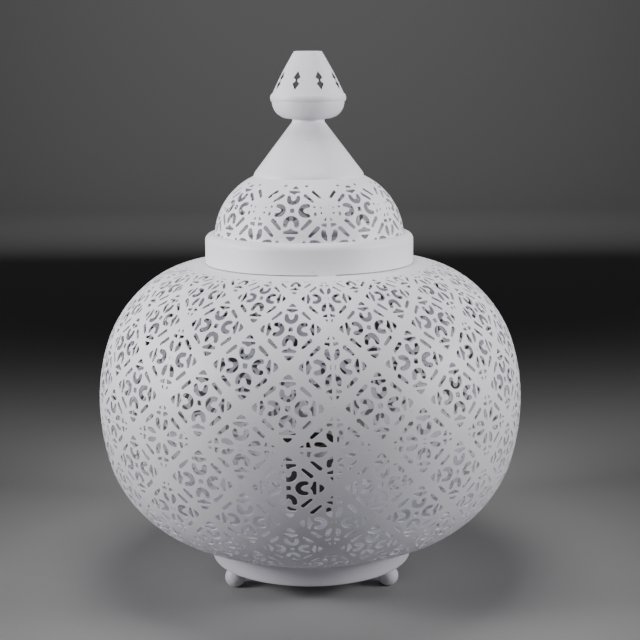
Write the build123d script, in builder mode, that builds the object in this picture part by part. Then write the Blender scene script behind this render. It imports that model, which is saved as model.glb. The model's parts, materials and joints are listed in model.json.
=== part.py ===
"""Filigree globe lantern for one tealight: a pressed-sheet globe on a dished foot, with a lift-off domed lid.

Millimetres, +Z up. The origin is on the floor, on the axis of the globe, and the front is towards -Y.
Angles round the axis are measured from the front towards +X.
"""

import os
from math import cos, radians, sin, sqrt, tan

from build123d import *

os.makedirs("parts", exist_ok=True)

# ---------------------------------------------------------------- driving dimensions
sheet = 0.8  # pressed steel sheet of globe, dome, collar and finial
solder_gap = 0.05  # between nested round pieces that are soldered together
thread_gap = 0.05  # between a screw or rod and the thread it turns in
hole_gap = 0.2  # between a screw or rod and a plain hole it passes

# globe: each half is a run of tangent arcs from the equator inwards (radius, degrees turned)
globe_radius = 150.0
equator_height = 133.3
upper_arcs = ((130.0, 18.0), (86.0, 37.0), (67.0, 35.0))
lower_arcs = ((157.0, 14.5), (84.5, 75.5))
gore_count = 8
seam_angle = 5.76  # first seam, from the front
wire_diameter = 2.0  # soldered behind the seam at the equator

# neck and the rest of the lid
neck_radius = 71.0
neck_height = 9.0
neck_lip = 6.0  # width of the lip under the crown
neck_play = 1.5  # between the neck and the collar
neck_edge = 0.28
rest_height = 0.6
rest_width = 12.0
rest_angle = 9.0
rest_count = 3

# foot
foot_height = 14.1
ball_radius = 7.3
foot_circle = 63.0
foot_angle = 60.0
foot_count = 3
dish_bottom_radius = 71.7
dish_top_radius = 75.0
dish_sheet = 1.0
dish_corner = 2.2
plate_radius = 70.0
plate_sheet = 1.0
bottom_opening = 66.0  # radius left open where the lower gores end

# fasteners
foot_screw_radius = 1.5
foot_screw_length = 8.0
screw_head_radius = 2.8
screw_head_height = 1.8
screw_head_edge = 0.8
rod_radius = 3.0
rod_proud = 1.0
nut_flats = 10.0
nut_height = 5.0
washer_radius = 9.0
washer_height = 1.2
lid_rod_radius = 2.5
lid_nut_flats = 8.0
lid_nut_height = 4.0
lid_washer_radius = 11.0

# candle stand
spacer_radius = 6.0
flange_radius = 24.0
flange_height = 2.0
riser_height = 16.0  # white foot under the dark post
post_radius = 18.2
post_wall = 1.5
post_height = 39.2
post_edge = 1.0
boss_radius = 6.0
boss_depth = 7.0
cup_wall = 0.5
cup_floor = 2.2
cup_edge = 0.4
cup_band = 3.4  # height of the turned-out rim of the cup
ring_wall = 0.55
ring_height = 7.4
disc_sheet = 0.5
disc_play = 0.2
seat_radius = 19.5
seat_depth = 8.5
seat_ledge = 1.0  # ledge round the recess that holds the disc

# lid
collar_height = 20.5
collar_shoulder = 5.0
dome_radius = 66.7
dome_arc = 47.5
dome_above_foot = 16.6  # centre height of the dome's arc over the collar's foot
dome_skirt = 4.0
dome_seam_angle = 11.7
apex_opening = 4.0
spire_radius = 38.6
spire_edge = 6.0
spire_slope = 37.3  # degrees from upright
spire_top_radius = 11.2
bowl_radius = 25.2
bowl_arc = 12.0
bowl_neck = 2.1  # height of the neck under the bowl
bowl_neck_edge = 0.9
bead_radius = 26.3
bead_height = 5.0
bead_edge = 0.9
bead_lip = 0.6
bead_bulge = 3.0  # height of the bead's widest circle
cone_radius = 24.9
cone_top_radius = 9.5
cone_height = 29.0
cone_arc = 250.0
cut_count = 8
cut_angle = 22.5
cut_height = 14.0
cut_width = 5.2
cut_shoulder = 2.3  # from the cut's middle to its widest points
cut_waist = 1.5
cut_bite = 1.4  # height of the bites at the waist
cut_middle = 9.0  # height of the cut's middle over the cone's foot
cone_foot_edge = 0.35
cone_top_edge = 0.7


# ---------------------------------------------------------------- shared geometry
def around(angle):
    """Unit direction of an angle measured from the front."""
    return Vector(sin(radians(angle)), -cos(radians(angle)), 0)


def upright(angle, height=0.0):
    """Plane through the axis, its x pointing out at the angle and its y upwards."""
    out = around(angle)
    return Plane(origin=(0, 0, height), x_dir=out, z_dir=out.cross(Vector(0, 0, 1)))


def rise(arcs, widest, radius, inset=0.0):
    """Height over the widest circle of a run of tangent arcs, at a radius from the axis."""
    centre_x, centre_y, turned = widest - arcs[0][0], 0.0, 0.0
    for (arc, sweep), following in zip(arcs, arcs[1:] + ((None, 0),)):
        turned += sweep
        end_x = centre_x + (arc - inset) * cos(radians(turned))
        if following[0] is None or radius >= end_x:
            across = max(radius - centre_x, 0.0)
            return centre_y + sqrt((arc - inset) ** 2 - across**2)
        centre_x += (arc - following[0]) * cos(radians(turned))
        centre_y += (arc - following[0]) * sin(radians(turned))


def curve(arcs, widest, inset, way):
    """Edges of a run of tangent arcs from the widest circle, then straight to the axis."""
    start, tangent = (widest - inset, 0), (0, way)
    for arc, sweep in arcs:
        edge = JernArc(start, tangent, arc - inset, way * sweep)
        start, tangent = edge @ 1, edge % 1
    last = Line(start, (0, start.Y))
    return last @ 1


def wall(arcs, widest, thickness, way, inset=0.0):
    """Closed section of a sheet that follows the arcs, from the widest circle to the axis."""
    with BuildSketch() as section:
        with BuildLine():
            outer = curve(arcs, widest, inset, way)
            inner = curve(arcs, widest, inset + thickness, way)
            Line((widest - inset, 0), (widest - inset - thickness, 0))
            Line(outer, inner)
        make_face()
    return section.sketch


def filled(arcs, widest, way, height):
    """Solid bounded by the arcs, to trim what seats on the sheet."""
    with BuildPart() as body:
        with BuildSketch(upright(90, height)):
            with BuildLine():
                pole = curve(arcs, widest, 0, way)
                Line(pole, (0, 0))
                Line((0, 0), (widest, 0))
            make_face()
        revolve(axis=Axis.Z)
    return body.part


gore_angle = 360 / gore_count
upper_inside = equator_height + rise(upper_arcs, globe_radius, neck_radius, sheet)
neck_crown = equator_height + rise(upper_arcs, globe_radius, neck_radius)
collar_radius = neck_radius + neck_play + sheet
foot_level = neck_crown + rest_height  # underside of the lid's collar
dish_floor = foot_height + dish_sheet
dish_rim = equator_height - rise(lower_arcs, globe_radius, dish_top_radius)
plate_level = equator_height - rise(lower_arcs, globe_radius, plate_radius, sheet) + solder_gap
plate_top = plate_level + plate_sheet
upper_form = filled(upper_arcs, globe_radius, 1, equator_height)
lower_form = filled(lower_arcs, globe_radius, -1, equator_height)

# ---------------------------------------------------------------- globe
for number in range(gore_count):
    seam = upright(seam_angle + number * gore_angle, equator_height)

    with BuildPart() as globe_upper_panel:
        with BuildSketch(seam):
            add(wall(upper_arcs, globe_radius, sheet, 1))
        revolve(axis=Axis.Z, revolution_arc=gore_angle)
        with Locations((0, 0, neck_crown)):
            Cylinder(neck_radius + solder_gap, globe_radius, mode=Mode.SUBTRACT)
    name = f"globe_upper_panel_{number + 1}"
    globe_upper_panel.part.label = name
    export_step(globe_upper_panel.part, f"parts/{name}.step")

    with BuildPart() as globe_lower_panel:
        with BuildSketch(seam):
            add(wall(lower_arcs, globe_radius, sheet, -1))
        revolve(axis=Axis.Z, revolution_arc=gore_angle)
        Cylinder(bottom_opening, globe_radius, mode=Mode.SUBTRACT)
    name = f"globe_lower_panel_{number + 1}"
    globe_lower_panel.part.label = name
    export_step(globe_lower_panel.part, f"parts/{name}.step")

# ring of wire soldered behind the seam where the two halves meet
wire_circle = globe_radius - sheet - solder_gap - wire_diameter / 2
with BuildPart() as equator_wire:
    with Locations((0, 0, equator_height)):
        Torus(wire_circle, wire_diameter / 2)
equator_wire.part.label = "equator_wire"
export_step(equator_wire.part, "parts/equator_wire.step")

# upright neck with a lip that follows the inside of the crown
with BuildPart() as neck_ring:
    with BuildSketch(upright(90, equator_height)):
        add(wall(upper_arcs, globe_radius, sheet, 1, sheet + solder_gap))
    revolve(axis=Axis.Z)
    with Locations((0, 0, neck_crown)):
        Cylinder(neck_radius + neck_lip, globe_radius, mode=Mode.INTERSECT)
    with BuildSketch(Plane.XY.offset(upper_inside - solder_gap - sheet)):
        Circle(neck_radius)
    extrude(amount=neck_crown + neck_height - upper_inside + solder_gap + sheet)
    with Locations((0, 0, neck_crown)):
        Cylinder(neck_radius - sheet, globe_radius, mode=Mode.SUBTRACT)
    rim = neck_ring.edges().group_by(Axis.Z)[-1]
    fillet(rim, neck_edge)
neck_ring.part.label = "neck_ring"
export_step(neck_ring.part, "parts/neck_ring.step")

# solder pads that hold the lid's collar just clear of the crown
with BuildPart() as lid_rest_pads:
    with BuildSketch(Plane.XY.offset(foot_level)):
        with Locations(upright(rest_angle).x_dir * (collar_radius - sheet / 2)):
            Rectangle(rest_width, sheet + rest_height, rotation=rest_angle)
    extrude(amount=-2 * rest_height)
    add(upper_form, mode=Mode.SUBTRACT)
    first_pad = lid_rest_pads.part
    for number in range(1, rest_count):
        add(first_pad.rotate(Axis.Z, number * 360 / rest_count))
lid_rest_pads.part.label = "lid_rest_pads"
export_step(lid_rest_pads.part, "parts/lid_rest_pads.step")

# ---------------------------------------------------------------- foot
feet = [foot_angle + number * 360 / foot_count for number in range(foot_count)]

with BuildPart() as base_dish:
    with BuildSketch(upright(90)) as dish_section:
        with BuildLine():
            Polyline(
                (0, foot_height),
                (dish_bottom_radius, foot_height),
                (dish_top_radius, dish_rim + dish_sheet),
                (dish_top_radius - dish_sheet, dish_rim + dish_sheet),
                (dish_bottom_radius - dish_sheet, dish_floor),
                (0, dish_floor),
                close=True,
            )
        make_face()
        outer_corner = dish_section.vertices().sort_by_distance((dish_bottom_radius, foot_height))[0]
        fillet(outer_corner, dish_corner)
        inside = (dish_bottom_radius - dish_sheet, dish_floor)
        inner_corner = dish_section.vertices().sort_by_distance(inside)[0]
        fillet(inner_corner, dish_corner - dish_sheet)
    revolve(axis=Axis.Z)
    add(lower_form, mode=Mode.SUBTRACT)
    with Locations((0, 0, dish_floor)):
        Hole(rod_radius + hole_gap, 2 * dish_sheet)
    with Locations([around(angle) * foot_circle + Vector(0, 0, dish_floor) for angle in feet]):
        Hole(foot_screw_radius + hole_gap, 2 * dish_sheet)
base_dish.part.label = "base_dish"
export_step(base_dish.part, "parts/base_dish.step")

for number, angle in enumerate(feet):
    with BuildPart() as ball_foot:
        with Locations(around(angle) * foot_circle + Vector(0, 0, foot_height / 2)):
            Sphere(ball_radius)
            Cylinder(ball_radius, foot_height, mode=Mode.INTERSECT)
        with Locations(around(angle) * foot_circle + Vector(0, 0, foot_height)):
            Hole(foot_screw_radius + thread_gap, foot_screw_length + hole_gap)
    name = f"ball_foot_{number + 1}"
    ball_foot.part.label = name
    export_step(ball_foot.part, f"parts/{name}.step")

with BuildPart() as foot_screws:
    with Locations([around(angle) * foot_circle + Vector(0, 0, dish_floor) for angle in feet]):
        Cylinder(screw_head_radius, screw_head_height, align=(Align.CENTER, Align.CENTER, Align.MIN))
        Cylinder(
            foot_screw_radius,
            foot_screw_length + dish_sheet,
            align=(Align.CENTER, Align.CENTER, Align.MAX),
        )
    crowns = foot_screws.edges().group_by(Axis.Z)[-1]
    fillet(crowns, screw_head_edge)
foot_screws.part.label = "foot_screws"
export_step(foot_screws.part, "parts/foot_screws.step")

# plate that closes the bottom of the globe inside the dish
with BuildPart() as base_plate:
    with BuildSketch(Plane.XY.offset(plate_level)):
        Circle(plate_radius)
        Circle(rod_radius + hole_gap, mode=Mode.SUBTRACT)
    extrude(amount=plate_sheet)
base_plate.part.label = "base_plate"
export_step(base_plate.part, "parts/base_plate.step")

with BuildPart() as spacer_tube:
    with BuildSketch(Plane.XY.offset(dish_floor)):
        Circle(spacer_radius)
        Circle(rod_radius + hole_gap, mode=Mode.SUBTRACT)
    extrude(amount=plate_level - dish_floor)
spacer_tube.part.label = "spacer_tube"
export_step(spacer_tube.part, "parts/spacer_tube.step")

# ---------------------------------------------------------------- candle stand
riser_top = plate_top + riser_height
post_top = riser_top + post_height
seat_level = post_top + cup_floor + disc_sheet
cup_rim = seat_level + seat_depth
cup_outside = seat_radius + cup_wall
ring_inside = cup_outside + solder_gap

# white riser with a flange, hollow underneath
with BuildPart() as post_riser:
    with BuildSketch(Plane.XY.offset(plate_top)):
        Circle(flange_radius)
    extrude(amount=flange_height)
    with BuildSketch(Plane.XY.offset(plate_top)):
        Circle(post_radius)
    extrude(amount=riser_height)
    with BuildSketch(Plane.XY.offset(plate_top)):
        Circle(post_radius - post_wall)
    extrude(amount=riser_height - post_wall, mode=Mode.SUBTRACT)
    with Locations((0, 0, riser_top)):
        Hole(rod_radius + hole_gap, 2 * post_wall)
post_riser.part.label = "post_riser"
export_step(post_riser.part, "parts/post_riser.step")

with BuildPart() as candle_post:
    with BuildSketch(Plane.XY.offset(riser_top)):
        Circle(post_radius)
    extrude(amount=post_height)
    upper_edge = candle_post.edges().group_by(Axis.Z)[-1]
    fillet(upper_edge, post_edge)
    with BuildSketch(Plane.XY.offset(riser_top)):
        Circle(post_radius - post_wall)
    extrude(amount=post_height - post_wall, mode=Mode.SUBTRACT)
    with Locations((0, 0, post_top)):
        Hole(boss_radius + hole_gap, 2 * post_wall)
candle_post.part.label = "candle_post"
export_step(candle_post.part, "parts/candle_post.step")

# cup with a turned-out rim, and a threaded boss that hangs into the post
with BuildPart() as candle_cup:
    with BuildSketch(Plane.XY.offset(post_top)):
        Circle(cup_outside)
    extrude(amount=cup_rim - post_top)
    with BuildSketch(Plane.XY.offset(cup_rim)):
        Circle(ring_inside + ring_wall)
    extrude(amount=-cup_band)
    rim = candle_cup.edges().group_by(Axis.Z)[-1]
    fillet(rim, cup_edge)
    with BuildSketch(Plane.XY.offset(seat_level)):
        Circle(seat_radius)
    extrude(amount=seat_depth, mode=Mode.SUBTRACT)
    with BuildSketch(Plane.XY.offset(seat_level)):
        Circle(seat_radius - seat_ledge)
    extrude(amount=-disc_sheet, mode=Mode.SUBTRACT)
    with BuildSketch(Plane.XY.offset(post_top)):
        Circle(boss_radius)
    extrude(amount=-boss_depth)
    with BuildSketch(Plane.XY.offset(post_top - boss_depth)):
        Circle(rod_radius + thread_gap)
    extrude(amount=boss_depth, mode=Mode.SUBTRACT)
candle_cup.part.label = "candle_cup"
export_step(candle_cup.part, "parts/candle_cup.step")

# plain sleeve soldered round the cup under its rim
with BuildPart() as cup_ring:
    with BuildSketch(Plane.XY.offset(cup_rim - cup_band)):
        Circle(ring_inside + ring_wall)
        Circle(ring_inside, mode=Mode.SUBTRACT)
    extrude(amount=-ring_height)
cup_ring.part.label = "cup_ring"
export_step(cup_ring.part, "parts/cup_ring.step")

# loose disc in the recess of the cup, under the candle
with BuildPart() as cup_disc:
    with BuildSketch(Plane.XY.offset(seat_level)):
        Circle(seat_radius - seat_ledge - disc_play)
    extrude(amount=-disc_sheet)
cup_disc.part.label = "cup_disc"
export_step(cup_disc.part, "parts/cup_disc.step")

rod_bottom = foot_height - washer_height - nut_height - rod_proud
with BuildPart() as tie_rod:
    with BuildSketch(Plane.XY.offset(rod_bottom)):
        Circle(rod_radius)
    extrude(amount=post_top - solder_gap - rod_bottom)
tie_rod.part.label = "tie_rod"
export_step(tie_rod.part, "parts/tie_rod.step")

with BuildPart() as dish_washer:
    with BuildSketch(Plane.XY.offset(foot_height)):
        Circle(washer_radius)
        Circle(rod_radius + hole_gap, mode=Mode.SUBTRACT)
    extrude(amount=-washer_height)
dish_washer.part.label = "dish_washer"
export_step(dish_washer.part, "parts/dish_washer.step")

with BuildPart() as dish_nut:
    with BuildSketch(Plane.XY.offset(foot_height - washer_height)):
        RegularPolygon(nut_flats / 2, 6, major_radius=False)
        Circle(rod_radius + thread_gap, mode=Mode.SUBTRACT)
    extrude(amount=-nut_height)
dish_nut.part.label = "dish_nut"
export_step(dish_nut.part, "parts/dish_nut.step")

# ---------------------------------------------------------------- lid
collar_top = foot_level + collar_height
dome_level = foot_level + dome_above_foot
dome_arcs = ((dome_arc, 90.0),)
dome_form = filled(dome_arcs, dome_radius, 1, dome_level)

with BuildPart() as collar_band:
    with BuildSketch(upright(90)) as collar_section:
        with BuildLine():
            foot = (collar_radius, foot_level)
            side = Line(foot, (collar_radius, collar_top - collar_shoulder))
            shoulder = JernArc(side @ 1, (0, 1), collar_shoulder, 90)
            top = Line(shoulder @ 1, (dome_radius + solder_gap, collar_top))
            lip = Line(top @ 1, (dome_radius + solder_gap, collar_top - 2 * sheet))
            under = Line(lip @ 1, (dome_radius + solder_gap + sheet, collar_top - 2 * sheet))
            lip_back = Line(under @ 1, (dome_radius + solder_gap + sheet, collar_top - sheet))
            inside_top = Line(lip_back @ 1, (collar_radius - collar_shoulder, collar_top - sheet))
            inside_shoulder = JernArc(inside_top @ 1, (1, 0), collar_shoulder - sheet, -90)
            inside = Line(inside_shoulder @ 1, (collar_radius - sheet, foot_level))
            Line(inside @ 1, foot)
        make_face()
    revolve(axis=Axis.Z)
collar_band.part.label = "collar_band"
export_step(collar_band.part, "parts/collar_band.step")

for number in range(gore_count):
    with BuildPart() as dome_panel:
        with BuildSketch(upright(dome_seam_angle + number * gore_angle, dome_level)):
            add(wall(dome_arcs, dome_radius, sheet, 1))
            with Locations((dome_radius - sheet / 2, 0)):
                Rectangle(sheet, dome_skirt, align=(Align.CENTER, Align.MAX))
        revolve(axis=Axis.Z, revolution_arc=gore_angle)
        with Locations((0, 0, dome_level)):
            Cylinder(apex_opening, 4 * dome_arc, mode=Mode.SUBTRACT)
    name = f"dome_panel_{number + 1}"
    dome_panel.part.label = name
    export_step(dome_panel.part, f"parts/{name}.step")

# spire: rounded lower edge, straight cone, flat top with a hole for the rod
spire_level = dome_level + rise(dome_arcs, dome_radius, spire_radius - sheet) - sheet
with BuildPart() as spire_cone:
    with BuildSketch(upright(90, spire_level)):
        with BuildLine():
            edge = JernArc((spire_radius, 0), (0, 1), spire_edge, spire_slope)
            reach = ((edge @ 1).X - spire_top_radius) / sin(radians(spire_slope))
            flank = PolarLine(edge @ 1, reach, direction=edge % 1)
            spire_height = (flank @ 1).Y
            Line(flank @ 1, (0, spire_height))
            Line((0, spire_height), (0, spire_height - sheet))
            slope = radians(spire_slope)
            inner_top = spire_top_radius - sheet / cos(slope) + sheet * tan(slope)
            Line((0, spire_height - sheet), (inner_top, spire_height - sheet))
            inner_edge = JernArc((spire_radius - sheet, 0), (0, 1), spire_edge - sheet, spire_slope)
            Line((inner_top, spire_height - sheet), inner_edge @ 1)
            Line((spire_radius - sheet, 0), (spire_radius, 0))
        make_face()
    revolve(axis=Axis.Z)
    add(dome_form, mode=Mode.SUBTRACT)
    with Locations((0, 0, spire_level + spire_height)):
        Hole(lid_rod_radius + hole_gap, 2 * sheet)
spire_cone.part.label = "spire_cone"
export_step(spire_cone.part, "parts/spire_cone.step")

bowl_level = spire_level + spire_height
bowl_height = bowl_neck + bowl_arc
bowl_floor = bowl_level + bowl_neck + sheet
with BuildPart() as finial_bowl:
    with BuildSketch(upright(90, bowl_level)) as bowl_section:
        with BuildLine():
            under = Polyline(
                (0, 0), (spire_top_radius, 0), (spire_top_radius, bowl_neck), (bowl_radius - bowl_arc, bowl_neck)
            )
            side = JernArc(under @ 1, (1, 0), bowl_arc, 90)
            rim = Line(side @ 1, (bowl_radius - sheet, bowl_height))
            inside = JernArc(rim @ 1, (0, -1), bowl_arc - sheet, -90)
            Polyline(inside @ 1, (0, bowl_neck + sheet), (0, 0))
        make_face()
        neck_corner = bowl_section.vertices().sort_by_distance((spire_top_radius, bowl_neck))[0]
        fillet(neck_corner, bowl_neck_edge)
    revolve(axis=Axis.Z)
    with Locations((0, 0, bowl_floor)):
        Hole(lid_rod_radius + hole_gap, bowl_neck + 2 * sheet)
finial_bowl.part.label = "finial_bowl"
export_step(finial_bowl.part, "parts/finial_bowl.step")

bead_level = bowl_level + bowl_height
with BuildPart() as finial_bead_ring:
    with BuildSketch(upright(90, bead_level)):
        with BuildLine():
            ThreePointArc(
                (bowl_radius + bead_lip, 0),
                (bead_radius, bead_bulge),
                (bead_radius - bead_edge, bead_height),
            )
            Polyline(
                (bead_radius - bead_edge, bead_height),
                (bowl_radius - sheet, bead_height),
                (bowl_radius - sheet, 0),
                (bowl_radius + bead_lip, 0),
            )
        make_face()
    revolve(axis=Axis.Z)
finial_bead_ring.part.label = "finial_bead_ring"
export_step(finial_bead_ring.part, "parts/finial_bead_ring.step")

# pierced cone on top, closed by a flat crown
cone_level = bead_level + bead_height
with BuildPart() as finial_cone:
    with BuildSketch(upright(90, cone_level)):
        with BuildLine():
            flank = RadiusArc((cone_radius, 0), (cone_top_radius, cone_height), -cone_arc)
            Line(flank @ 1, (0, cone_height))
            Line((0, cone_height), (0, cone_height - sheet))
            inside = RadiusArc(
                (cone_radius - sheet, 0), (cone_top_radius - sheet / 2, cone_height - sheet), -cone_arc
            )
            Line((0, cone_height - sheet), inside @ 1)
            Line(inside @ 0, flank @ 0)
        make_face()
    revolve(axis=Axis.Z)
    lean = (cone_radius - cone_top_radius) / cone_height
    for number in range(cut_count):
        out = around(cut_angle + number * 360 / cut_count)
        middle = out * (cone_radius - lean * cut_middle) + Vector(0, 0, cone_level + cut_middle)
        normal = (out + Vector(0, 0, lean)).normalized()
        with BuildSketch(Plane(origin=middle, x_dir=Vector(0, 0, 1).cross(out), z_dir=normal)):
            with BuildLine():
                for side in (-1, 1):
                    Polyline(
                        (0, side * cut_height / 2),
                        (side * cut_width / 2, side * cut_shoulder),
                        (side * cut_waist / 2, side * cut_bite / 2),
                        (side * cut_waist / 2, -side * cut_bite / 2),
                        (side * cut_width / 2, -side * cut_shoulder),
                        (0, -side * cut_height / 2),
                    )
            make_face()
        extrude(amount=3 * sheet, both=True, mode=Mode.SUBTRACT)
    foot_edge = finial_cone.edges().group_by(Axis.Z)[0].sort_by(SortBy.RADIUS)[-1]
    fillet(foot_edge, cone_foot_edge)
    crown_edge = finial_cone.edges().group_by(Axis.Z)[-1]
    fillet(crown_edge, cone_top_edge)
finial_cone.part.label = "finial_cone"
export_step(finial_cone.part, "parts/finial_cone.step")

# threaded rod that pulls finial, spire and dome together
apex_inside = dome_level + rise(dome_arcs, dome_radius, 0, sheet)
lid_rod_bottom = apex_inside - washer_height - lid_nut_height - rod_proud
lid_rod_top = bowl_floor + lid_nut_height + rod_proud
with BuildPart() as lid_rod:
    with BuildSketch(Plane.XY.offset(lid_rod_bottom)):
        Circle(lid_rod_radius)
    extrude(amount=lid_rod_top - lid_rod_bottom)
lid_rod.part.label = "lid_rod"
export_step(lid_rod.part, "parts/lid_rod.step")

with BuildPart() as finial_nut:
    with BuildSketch(Plane.XY.offset(bowl_floor)):
        RegularPolygon(lid_nut_flats / 2, 6, major_radius=False)
        Circle(lid_rod_radius + thread_gap, mode=Mode.SUBTRACT)
    extrude(amount=lid_nut_height)
finial_nut.part.label = "finial_nut"
export_step(finial_nut.part, "parts/finial_nut.step")

with BuildPart() as dome_washer:
    with BuildSketch(Plane.XY.offset(apex_inside)):
        Circle(lid_washer_radius)
        Circle(lid_rod_radius + hole_gap, mode=Mode.SUBTRACT)
    extrude(amount=-washer_height)
dome_washer.part.label = "dome_washer"
export_step(dome_washer.part, "parts/dome_washer.step")

with BuildPart() as dome_nut:
    with BuildSketch(Plane.XY.offset(apex_inside - washer_height)):
        RegularPolygon(lid_nut_flats / 2, 6, major_radius=False)
        Circle(lid_rod_radius + thread_gap, mode=Mode.SUBTRACT)
    extrude(amount=-lid_nut_height)
dome_nut.part.label = "dome_nut"
export_step(dome_nut.part, "parts/dome_nut.step")

print(f"floor to collar foot {foot_level:.2f}, collar top {collar_top:.2f}, dome arc centre {dome_level:.2f}")
print(f"spire {spire_level:.2f} to {bowl_level:.2f}, cone {cone_level:.2f} to {cone_level + cone_height:.2f}")
print(f"plate {plate_level:.2f}, post {riser_top:.2f} to {post_top:.2f}")
print(f"seat {seat_level:.2f}, cup rim {cup_rim:.2f}")
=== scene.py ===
"""Looks of the filigree globe lantern: pierced panels, painted steel, a pale studio and the camera.

The globe and the dome are pressed from pierced sheet. One flat pattern of motifs is laid out in
millimetres, cut to each panel, triangulated with its holes open, and bent onto the panel's curve.
"""

import json
import math
import random

import bpy
import numpy as np
from mathutils import Matrix, Vector
from mathutils.geometry import delaunay_2d_cdt


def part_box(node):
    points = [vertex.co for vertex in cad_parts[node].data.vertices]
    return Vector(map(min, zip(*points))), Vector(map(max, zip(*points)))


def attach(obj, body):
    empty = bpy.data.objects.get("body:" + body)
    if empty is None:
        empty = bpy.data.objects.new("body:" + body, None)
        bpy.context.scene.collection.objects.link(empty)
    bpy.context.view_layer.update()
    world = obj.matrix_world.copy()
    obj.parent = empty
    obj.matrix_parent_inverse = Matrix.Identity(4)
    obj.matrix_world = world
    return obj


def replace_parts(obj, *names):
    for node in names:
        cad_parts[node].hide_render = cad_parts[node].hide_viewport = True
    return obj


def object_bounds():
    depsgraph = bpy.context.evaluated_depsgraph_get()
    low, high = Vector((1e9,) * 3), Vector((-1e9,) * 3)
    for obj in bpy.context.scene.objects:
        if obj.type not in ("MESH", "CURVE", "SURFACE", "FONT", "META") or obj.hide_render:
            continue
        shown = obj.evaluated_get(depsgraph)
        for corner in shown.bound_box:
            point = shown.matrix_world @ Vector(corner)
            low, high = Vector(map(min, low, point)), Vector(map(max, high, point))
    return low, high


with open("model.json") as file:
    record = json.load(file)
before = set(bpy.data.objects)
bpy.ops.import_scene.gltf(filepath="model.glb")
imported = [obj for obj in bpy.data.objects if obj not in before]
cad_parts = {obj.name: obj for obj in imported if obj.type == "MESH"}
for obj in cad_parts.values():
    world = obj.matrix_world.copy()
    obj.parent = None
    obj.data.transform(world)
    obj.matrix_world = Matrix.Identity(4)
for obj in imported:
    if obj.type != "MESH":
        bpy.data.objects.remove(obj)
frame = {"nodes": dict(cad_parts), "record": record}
CAD_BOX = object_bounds()

MM = 0.001
PANELS = 8
PANEL_ANGLE = 360 / PANELS
SHEET = 0.8

# Seams, in degrees from the front towards +X
GLOBE_SEAM = 5.76
DOME_SEAM = 11.7


def height(node, end):
    """Lowest (0) or highest (1) point of a CAD node, in millimetres."""
    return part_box(node)[end].z / MM


# ---------------------------------------------------------------- curves of the pressed sheet
class Curve:
    """Profile of a half: a straight skirt, tangent arcs (radius, degrees turned), then a flat."""

    def __init__(self, widest, start, way, arcs):
        self.widest, self.start, self.way = widest, start, way
        self.arcs = []
        centre_r, centre_y, turned, run = widest - arcs[0][0], 0.0, 0.0, 0.0
        for n, (radius, sweep) in enumerate(arcs):
            self.arcs.append((run, radius, turned, centre_r, centre_y))
            run += radius * math.radians(sweep)
            turned += math.radians(sweep)
            if n + 1 < len(arcs):
                centre_r += (radius - arcs[n + 1][0]) * math.cos(turned)
                centre_y += (radius - arcs[n + 1][0]) * math.sin(turned)
        self.run = run

    def at(self, s, depth):
        """Radius, height and outward normal (two parts) at distances s along the curve."""
        r = np.full(s.shape, self.widest - depth)
        y = s.copy()
        across, up = np.ones_like(s), np.zeros_like(s)
        for begin, radius, turned, centre_r, centre_y in self.arcs:
            on = s >= begin
            angle = turned + (s[on] - begin) / radius
            angle = np.minimum(angle, math.pi / 2)
            r[on] = centre_r + (radius - depth) * np.cos(angle)
            y[on] = centre_y + (radius - depth) * np.sin(angle)
            across[on], up[on] = np.cos(angle), np.sin(angle)
        flat = s > self.run
        r[flat] -= s[flat] - self.run
        return r, self.start + self.way * y, across, self.way * up

    def distance_to(self, radius):
        """Distance along the curve at which it has come in to a radius."""
        s = np.linspace(0, self.run * 1.5, 6000)
        return float(np.interp(-radius, -self.at(s, 0)[0], s))


# ---------------------------------------------------------------- the pierced pattern
ROW = 25.4  # distance between rows of motifs
GLOBE_STRETCH = 1.09
STRIP = 1.2  # half of the plain strip along a seam
PUNCH = 0.28  # how far the punch goes outside each drawn outline
WANDER = 0.12  # how far a hole may lie off its place, each way
SMALLEST_HOLE = 0.3  # area under which a cut-off scrap of a hole is left out
RIM_GAP = 1.0  # clear distance from a hole's rim to the sheet's own points


def arc(centre, radii, start, end, count):
    """Points on part of an ellipse."""
    angles = np.radians(np.linspace(start, end, count))
    return [(centre[0] + radii[0] * math.cos(a), centre[1] + radii[1] * math.sin(a)) for a in angles]


def horseshoe():
    leg, tip = 3.55, 1.3
    back = arc((0, 9.0), (leg + tip, 4.75), 180, 360, 15)
    right = arc((leg, 10.4), (tip, tip), 0, 180, 7)
    notch = [(2.15, 9.5), (1.75, 8.5), (1.0, 7.65), (0, 7.1), (-1.0, 7.65), (-1.75, 8.5), (-2.15, 9.5)]
    left = arc((-leg, 10.4), (tip, tip), 0, 180, 7)
    return back + right + notch + left


def spade():
    return [
        (-4.1, 16.0), (4.1, 16.0), (4.6, 15.3), (4.1, 14.6), (2.5, 14.25), (1.3, 13.7), (0, 12.8),
        (-1.3, 13.7), (-2.5, 14.25), (-4.1, 14.6), (-4.6, 15.3),
    ]  # fmt: skip


def half_moon():
    return [
        (-2.6, 18.2), (2.6, 18.2), (2.2, 19.2), (1.15, 20.2), (0, 20.75), (-1.15, 20.2), (-2.2, 19.2),
    ]  # fmt: skip


def square():
    return [
        (-1.3, -1.0), (-1.0, -1.4), (1.0, -1.4), (1.3, -1.0),
        (1.3, 1.0), (1.0, 1.4), (-1.0, 1.4), (-1.3, 1.0),
    ]  # fmt: skip


def turned(points, quarter):
    """Points turned by quarters of a circle."""
    c, s = ((1, 0), (0, 1), (-1, 0), (0, -1))[quarter]
    return [(x * c - y * s, x * s + y * c) for x, y in points]


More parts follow.
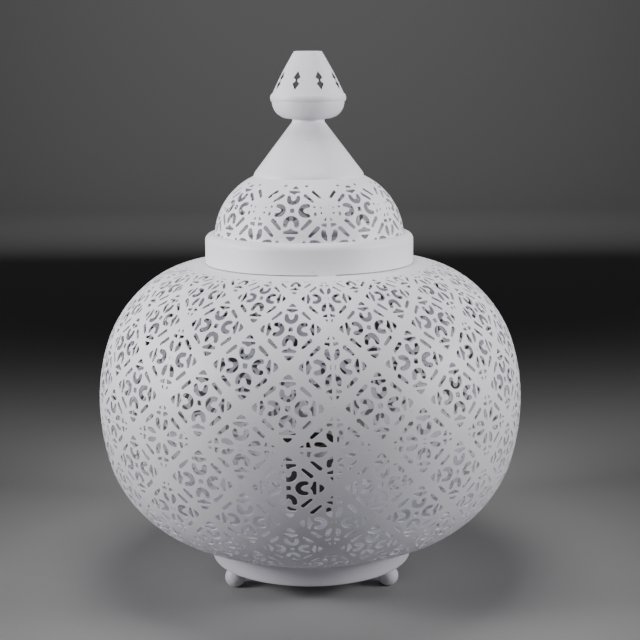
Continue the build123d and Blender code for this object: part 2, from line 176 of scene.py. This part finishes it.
def bar(middle, along, length=9.0, thick=2.35, thin=1.6):
    """Tapered bar with round ends, its thick end upwards."""
    size = math.hypot(*along)
    ux, uy = along[0] / size, along[1] / size
    if uy < 0:
        ux, uy = -ux, -uy
    heading = math.degrees(math.atan2(uy, ux))
    reach = (length - (thick + thin) / 2) / 2
    top = (middle[0] + ux * reach, middle[1] + uy * reach)
    low = (middle[0] - ux * reach, middle[1] - uy * reach)
    upper = arc(top, (thick / 2, thick / 2), heading - 90, heading + 90, 6)
    lower = arc(low, (thin / 2, thin / 2), heading + 90, heading + 270, 5)
    return upper + lower


def dot(middle, size):
    return arc(middle, size, 0, 315, 8)


def motif_holes(stretch, sides=True):
    """Holes of one motif about its centre."""
    holes = [square()]
    for quarter in range(4):
        holes.append(turned(horseshoe(), quarter))
        if sides or quarter % 2 == 0:
            holes.append(turned(spade(), quarter))
            holes.append(turned(half_moon(), quarter))
    if not sides:
        for way in (-1, 1):
            holes.append(dot((way * 15.0, 2.5), (0.6, 0.6)))
            holes.append(dot((way * 15.3, -2.7), (0.7, 1.3)))
            holes.append(dot((way * 19.2, 1.9), (0.35, 0.35)))
            holes.append(dot((way * 19.3, -2.0), (0.45, 0.6)))
    return [[(x * stretch, y) for x, y in hole] for hole in holes]


def link_bars(half_width):
    """The two bars on each of the links that rise from a motif to the row above."""
    bars = []
    for way in (-1, 1):
        for share in (0.4, 0.595):
            middle = (way * half_width * share, ROW * share)
            bars.append(bar(middle, (-way * half_width, ROW)))
    return bars


def dome_links():
    """Bars and dots round a motif of the dome, crowded together under the spire."""
    made = []
    for way in (-1, 1):
        made += [bar((way * 11.2, 9.3), (-way * 23, 21)), bar((way * 17.2, 12.6), (-way * 23, 25))]
        made += [bar((way * 9.4, -10.2), (way * 23, 25)), bar((way * 14.0, -15.1), (way * 23, 25))]
        made.append(dot((way * 9.4, 21.0), (1.3, 0.9)))
    return made


def clipped(points, axis, limit, keep_above):
    """A hole cut off straight at a limit along x (0) or y (1)."""
    sign = 1 if keep_above else -1
    kept = []
    for a, b in zip(points, points[1:] + points[:1]):
        da, db = sign * (a[axis] - limit), sign * (b[axis] - limit)
        if da >= 0:
            kept.append(a)
        if da * db < 0:
            t = da / (da - db)
            kept.append((a[0] + (b[0] - a[0]) * t, a[1] + (b[1] - a[1]) * t))
    return kept


def area(points):
    return 0.5 * sum(a[0] * b[1] - b[0] * a[1] for a, b in zip(points, points[1:] + points[:1]))


def outset(points, distance):
    """The same outline with every side moved outwards."""
    way = 1 if area(points) > 0 else -1
    made = []
    for before, here, after in zip(points[-1:] + points[:-1], points, points[1:] + points[:1]):
        normals = []
        for a, b in ((before, here), (here, after)):
            length = max(math.dist(a, b), 1e-6)
            normals.append((way * (b[1] - a[1]) / length, way * (a[0] - b[0]) / length))
        (ax, ay), (bx, by) = normals
        miter = distance / max(1 + ax * bx + ay * by, 0.6)
        made.append((here[0] + (ax + bx) * miter, here[1] + (ay + by) * miter))
    return made


def handmade(points, chance):
    """The hole as punched: outside its outline, and a little larger, smaller or off its place."""
    points = outset(points, PUNCH)
    cx = sum(p[0] for p in points) / len(points)
    cy = sum(p[1] for p in points) / len(points)
    grow = 1 + chance.uniform(-0.05, 0.03)
    dx, dy = chance.uniform(-WANDER, WANDER), chance.uniform(-WANDER, WANDER)
    return [(cx + (x - cx) * grow + dx, cy + (y - cy) * grow + dy) for x, y in points]


def globe_pattern():
    """Motifs on a diamond lattice, one to each panel and one on each seam in every other row."""
    made = []
    for row in range(-1, 7):
        shift = 0 if row % 2 == 0 else GLOBE_HALF / 2
        for column in range(-2, 3):
            holes = motif_holes(GLOBE_STRETCH) + link_bars(GLOBE_HALF / 2)
            aside, up = column * GLOBE_HALF + shift, row * ROW
            made += [[(x + aside, y + up) for x, y in hole] for hole in holes]
    return made


def dome_pattern():
    """One motif to each panel, and under it the tops of those that the collar hides."""
    made = [[(x, y + DOME_ROW) for x, y in hole] for hole in motif_holes(1.0, False) + dome_links()]
    for way in (-1, 1):
        below = motif_holes(1.0)
        made += [[(x + way * DOME_HALF, y + DOME_ROW - ROW) for x, y in hole] for hole in below]
    return made


def panel_holes(pattern, half_width, low, high, chance):
    """The pattern's holes on one panel, cut by the strips along its seams."""
    edge = half_width - STRIP
    cut = []
    for hole in pattern:
        hole = handmade(hole, chance)
        for axis, limit, above in ((0, -edge, True), (0, edge, False), (1, low, True), (1, high, False)):
            hole = clipped(hole, axis, limit, above) if hole else hole
        if len(hole) > 2 and abs(area(hole)) > SMALLEST_HOLE:
            cut.append(hole if area(hole) > 0 else hole[::-1])
    return cut


def pierced_sheet(half_width, low, high, holes, pitch):
    """Flat triangles of a panel with its holes left out: points (x, s) and corner numbers."""
    across = np.linspace(-half_width, half_width, round(2 * half_width / pitch) + 1)
    along = np.linspace(low, high, round((high - low) / pitch) + 1)
    outline = [(x, low) for x in across[:-1]] + [(half_width, s) for s in along[:-1]]
    outline += [(x, high) for x in across[:0:-1]] + [(-half_width, s) for s in along[:0:-1]]
    rim = np.array([p for hole in holes for p in hole])
    grid = np.array([(x, s) for x in across[1:-1] for s in along[1:-1]])
    gap = np.full(len(grid), 1e9)
    for part in np.array_split(rim, 8):
        if len(part):
            gap = np.minimum(gap, ((grid[:, None] - part[None]) ** 2).sum(-1).min(1))
    grid = grid[gap > RIM_GAP**2]
    points, faces = list(outline), [list(range(len(outline)))]
    for hole in holes:
        faces.append(list(range(len(points), len(points) + len(hole))))
        points += hole
    points += [tuple(p) for p in grid]
    made = delaunay_2d_cdt([Vector(p) for p in points], [], faces, 1, 1e-5)
    corners = [f for f, source in zip(made[2], made[5]) if list(source) == [0]]
    return np.array([tuple(p) for p in made[0]]), np.array(corners)


def bend(name, curve, flat, corners, scale, seam):
    """Mesh of a panel: the flat triangles bent onto the curve, with the sheet's thickness."""
    x, s = flat[:, 0], flat[:, 1]
    angle = math.radians(seam + PANEL_ANGLE / 2) + x / scale
    layers = []
    for depth in (0.0, SHEET):
        r, z, across, up = curve.at(s, depth)
        layers.append(np.stack([r * np.sin(angle), -r * np.cos(angle), z], 1) * MM)
    normals = np.stack([across * np.sin(angle), -across * np.cos(angle), up], 1)
    count = len(flat)
    if curve.way < 0:
        corners = corners[:, ::-1]
    used = {}
    for a, b, c in corners:
        for edge in ((a, b), (b, c), (c, a)):
            used[edge] = True
    rims = [(a, b) for a, b in used if (b, a) not in used]
    faces = corners.tolist() + (corners[:, ::-1] + count).tolist()
    faces += [(b, a, a + count, b + count) for a, b in rims]
    mesh = bpy.data.meshes.new(name)
    mesh.from_pydata(np.concatenate(layers).tolist(), [], faces)
    mesh.shade_smooth()
    on_rim = {frozenset(e) for e in rims} | {frozenset((a + count, b + count)) for a, b in rims}
    for e in mesh.edges:
        if frozenset(e.vertices) in on_rim:
            e.use_edge_sharp = True
    loops = np.zeros(len(mesh.loops), np.int32)
    mesh.loops.foreach_get("vertex_index", loops)
    given = np.concatenate([normals, -normals])[loops]
    given[len(corners) * 6 :] = 0
    mesh.normals_split_custom_set(given.tolist())
    made = bpy.data.objects.new(name, mesh)
    bpy.context.scene.collection.objects.link(made)
    return made


# ---------------------------------------------------------------- materials
def material(name, colour, roughness, metallic=0.0):
    made = bpy.data.materials.new(name)
    made.use_nodes = True
    shader = made.node_tree.nodes["Principled BSDF"]
    shader.inputs["Base Color"].default_value = (*colour, 1)
    shader.inputs["Roughness"].default_value = roughness
    shader.inputs["Metallic"].default_value = metallic
    return made, made.node_tree, shader


def noise(tree, scale, detail=3.0, roughness=0.55):
    where = tree.nodes.new("ShaderNodeTexCoord")
    made = tree.nodes.new("ShaderNodeTexNoise")
    made.inputs["Scale"].default_value = scale
    made.inputs["Detail"].default_value = detail
    made.inputs["Roughness"].default_value = roughness
    tree.links.new(where.outputs["Object"], made.inputs["Vector"])
    return made.outputs["Fac"]


def ramp(tree, source, stops):
    made = tree.nodes.new("ShaderNodeValToRGB")
    while len(made.color_ramp.elements) < len(stops):
        made.color_ramp.elements.new(0.5)
    for element, (place, colour) in zip(made.color_ramp.elements, stops):
        element.position = place
        element.color = (*colour, 1)
    tree.links.new(source, made.inputs["Fac"])
    return made.outputs["Color"]


def bump(tree, source, strength, distance, before=None):
    made = tree.nodes.new("ShaderNodeBump")
    made.inputs["Strength"].default_value = strength
    made.inputs["Distance"].default_value = distance
    tree.links.new(source, made.inputs["Height"])
    if before is not None:
        tree.links.new(before, made.inputs["Normal"])
    return made.outputs["Normal"]


def spread(tree, source, low, high):
    made = tree.nodes.new("ShaderNodeMapRange")
    made.inputs["To Min"].default_value = low
    made.inputs["To Max"].default_value = high
    made.inputs["From Min"].default_value = 0.3
    made.inputs["From Max"].default_value = 0.7
    tree.links.new(source, made.inputs["Value"])
    return made.outputs["Result"]


def white_paint(name="white_paint", wrinkle=0.0):
    """Sprayed matte enamel: slight clouding, orange peel and a few dust specks."""
    made, tree, shader = material(name, (0.8, 0.79, 0.83), 0.5)
    cloud = ramp(tree, noise(tree, 14), [(0.3, (0.77, 0.76, 0.83)), (0.7, (0.82, 0.808, 0.87))])
    specks = ramp(tree, noise(tree, 420, 1.0), [(0.235, (0.8, 0.79, 0.79)), (0.26, (1, 1, 1))])
    mix = tree.nodes.new("ShaderNodeMix")
    mix.data_type = "RGBA"
    mix.blend_type = "MULTIPLY"
    mix.inputs["Factor"].default_value = 1.0
    tree.links.new(cloud, mix.inputs[6])
    tree.links.new(specks, mix.inputs[7])
    tree.links.new(mix.outputs[2], shader.inputs["Base Color"])
    tree.links.new(spread(tree, noise(tree, 35), 0.44, 0.58), shader.inputs["Roughness"])
    peel = bump(tree, noise(tree, 900, 2.0), 0.12, 0.0002)
    dents = bump(tree, noise(tree, 45, 1.0), 0.1, 0.0012, peel)
    if wrinkle:
        dents = bump(tree, noise(tree, 240, 4.0, 0.7), wrinkle, 0.0012, dents)
    tree.links.new(dents, shader.inputs["Normal"])
    return made


def black_paint():
    made, tree, shader = material("black_paint", (0.018, 0.018, 0.02), 0.42)
    tint = ramp(tree, noise(tree, 60), [(0.3, (0.012, 0.012, 0.014)), (0.7, (0.028, 0.027, 0.027))])
    tree.links.new(tint, shader.inputs["Base Color"])
    tree.links.new(spread(tree, noise(tree, 120), 0.34, 0.52), shader.inputs["Roughness"])
    tree.links.new(bump(tree, noise(tree, 1100, 2.0), 0.15, 0.0002), shader.inputs["Normal"])
    return made


def copper():
    made, tree, shader = material("copper_disc", (0.72, 0.36, 0.18), 0.3, 1.0)
    tint = ramp(tree, noise(tree, 90), [(0.3, (0.6, 0.27, 0.12)), (0.7, (0.78, 0.42, 0.22))])
    tree.links.new(tint, shader.inputs["Base Color"])
    tree.links.new(spread(tree, noise(tree, 260), 0.22, 0.42), shader.inputs["Roughness"])
    return made


def zinc():
    made, tree, shader = material("zinc_steel", (0.6, 0.61, 0.63), 0.36, 1.0)
    tint = ramp(tree, noise(tree, 160), [(0.3, (0.48, 0.49, 0.51)), (0.7, (0.68, 0.69, 0.71))])
    tree.links.new(tint, shader.inputs["Base Color"])
    tree.links.new(spread(tree, noise(tree, 400), 0.28, 0.46), shader.inputs["Roughness"])
    tree.links.new(bump(tree, noise(tree, 1500, 2.0), 0.1, 0.0001), shader.inputs["Normal"])
    return made


def painted_finial_shade():
    """Near-black inside of the finial: painted shade standing in for the shade inside the hollow finial."""
    made, tree, shader = material("painted_finial_shade", (0.03, 0.026, 0.026), 0.7)
    tint = ramp(tree, noise(tree, 150), [(0.3, (0.02, 0.017, 0.017)), (0.7, (0.045, 0.038, 0.036))])
    tree.links.new(tint, shader.inputs["Base Color"])
    return made


WHITE = white_paint()
FINISH = {"white_paint": WHITE, "black_paint": black_paint(), "copper_disc": copper(), "zinc_steel": zinc()}
for row in frame["record"]["subparts"]:
    node = frame["nodes"][row["node"]]
    node.data.materials.clear()
    node.data.materials.append(FINISH[row["material_slot"]])
INWARD = 0.2  # how squarely a finial face must look at the axis to get the painted shade inside
# The finial's inward faces get a near-black material: painted shade inside the finial, not a colour of the
# metal.
inside_shade = painted_finial_shade()
for name in ("finial_cone", "finial_bowl", "finial_bead_ring"):
    mesh = frame["nodes"][name].data
    mesh.materials.append(inside_shade)
    for face in mesh.polygons:
        if face.normal.x * face.center.x + face.normal.y * face.center.y < -INWARD * face.center.xy.length:
            face.material_index = 1
rough_foot = frame["nodes"]["ball_foot_3"]
rough_foot.data.materials.clear()
rough_foot.data.materials.append(white_paint("white_paint_wrinkled", 0.9))

# ---------------------------------------------------------------- pierced panels
equator = height("globe_upper_panel_1", 0)
globe_radius = CAD_BOX[1].x / MM
UPPER = Curve(globe_radius, equator, 1, ((130.0, 18.0), (86.0, 37.0), (67.0, 35.0)))
LOWER = Curve(globe_radius, equator, -1, ((157.0, 14.5), (84.5, 75.5)))
DOME_RADIUS, DOME_ARC, DOME_SKIRT = 66.7, 47.5, 4.0
DOME = Curve(DOME_RADIUS, height("dome_panel_1", 0) + DOME_SKIRT, 1, ((DOME_ARC, 90.0),))
NECK_RADIUS, BOTTOM_RADIUS, APEX_RADIUS = 71.05, 66.0, 4.0
BORDER = 123.3  # how far the pattern reaches from the equator
PITCH = 5.0  # between the globe sheet's own points
DOME_PITCH = PITCH * 0.6

GLOBE_HALF = globe_radius * math.radians(PANEL_ANGLE) / 2
for number in range(PANELS):
    seam = GLOBE_SEAM + number * PANEL_ANGLE
    for half, curve, opening in (("upper", UPPER, NECK_RADIUS), ("lower", LOWER, BOTTOM_RADIUS)):
        chance = random.Random(f"{half}{number}")
        node = f"globe_{half}_panel_{number + 1}"
        holes = panel_holes(globe_pattern(), GLOBE_HALF, STRIP, BORDER, chance)
        flat, corners = pierced_sheet(GLOBE_HALF, 0, curve.distance_to(opening), holes, PITCH)
        piece = bend(f"pierced_{half}_{number + 1}", curve, flat, corners, globe_radius, seam)
        piece.data.materials.append(WHITE)
        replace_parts(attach(piece, "root"), node)

DOME_LOW, DOME_REACH = 2.0, 22.5  # where the pattern starts, and how far it goes past its row
DOME_ROW_ANGLE = 31.4  # where on the dome's arc the main row of motifs lies
DOME_ROW = DOME_ARC * math.radians(DOME_ROW_ANGLE)
DOME_SCALE = DOME_RADIUS - DOME_ARC + DOME_ARC * math.cos(math.radians(DOME_ROW_ANGLE))
DOME_HALF = DOME_SCALE * math.radians(PANEL_ANGLE) / 2
for number in range(PANELS):
    chance = random.Random(f"dome{number}")
    holes = panel_holes(dome_pattern(), DOME_HALF, DOME_LOW, DOME_ROW + DOME_REACH, chance)
    apex = DOME.distance_to(APEX_RADIUS)
    flat, corners = pierced_sheet(DOME_HALF, -DOME_SKIRT, apex, holes, DOME_PITCH)
    seam = DOME_SEAM + number * PANEL_ANGLE
    piece = bend(f"pierced_dome_{number + 1}", DOME, flat, corners, DOME_SCALE, seam)
    piece.data.materials.append(WHITE)
    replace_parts(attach(piece, "lid"), f"dome_panel_{number + 1}")


# ---------------------------------------------------------------- studio
def studio():
    """Pale floor that curves up behind, one soft light above, one each side, one on the backdrop."""
    made, tree, shader = material("studio_floor", (0.36, 0.355, 0.36), 0.85)
    side, depth, back, curve = 6.0, 1.6, 3.5, 0.8
    outline = [(-depth * 2, 0.0), (back - curve, 0.0)]
    for step in range(1, 13):
        a = math.radians(90 * step / 12)
        outline.append((back - curve + curve * math.sin(a), curve - curve * math.cos(a)))
    outline.append((back, 5.0))
    points = [(x, y, z) for y, z in outline for x in (-side, side)]
    faces = [(2 * n, 2 * n + 1, 2 * n + 3, 2 * n + 2) for n in range(len(outline) - 1)]
    mesh = bpy.data.meshes.new("studio_floor")
    mesh.from_pydata(points, [], faces)
    mesh.shade_smooth()
    mesh.materials.append(made)
    floor = bpy.data.objects.new("studio_floor", mesh)
    bpy.context.scene.collection.objects.link(floor)

    def softbox(name, place, target, size, power, opening):
        light = bpy.data.lights.new(name, "AREA")
        light.shape = "RECTANGLE"
        light.size, light.size_y = size
        light.energy = power
        light.spread = math.radians(opening)
        made = bpy.data.objects.new(name, light)
        made.location = place
        made.rotation_euler = (Vector(target) - Vector(place)).to_track_quat("-Z", "Y").to_euler()
        bpy.context.scene.collection.objects.link(made)

    softbox("overhead", (-0.02, -0.06, 0.85), (0, -0.02, 0.3), (0.36, 0.36), 0.8, 90)
    softbox("left_side", (-0.8, -0.25, 0.44), (0, 0, 0.25), (0.4, 0.3), 1.15, 50)
    softbox("right_side", (0.8, -0.25, 0.44), (0, 0, 0.25), (0.4, 0.3), 0.9, 50)
    softbox("backdrop", (0, 1.5, 1.0), (0, 3.5, 0.9), (2.0, 0.4), 8, 150)
    world = bpy.data.worlds.new("studio")
    world.use_nodes = True
    world.node_tree.nodes["Background"].inputs["Color"].default_value = (0.75, 0.77, 0.8, 1)
    world.node_tree.nodes["Background"].inputs["Strength"].default_value = 0.03
    bpy.context.scene.world = world


def camera():
    """Camera at the reference view: 0.96 m in front and 0.36 m up, looking down a little."""
    lens = bpy.data.cameras.new("camera")
    lens.sensor_width = 36.0
    lens.lens = 76.55
    made = bpy.data.objects.new("camera", lens)
    bpy.context.scene.collection.objects.link(made)
    down, aside, roll = math.radians(10.23), math.radians(-0.435), math.radians(-0.356)
    turn = Matrix.Rotation(aside, 4, "Z") @ Matrix.Rotation(math.pi / 2 - down, 4, "X")
    made.matrix_world = Matrix.Translation((0, -0.9567, 0.3598)) @ turn @ Matrix.Rotation(roll, 4, "Z")
    bpy.context.scene.camera = made


studio()
camera()
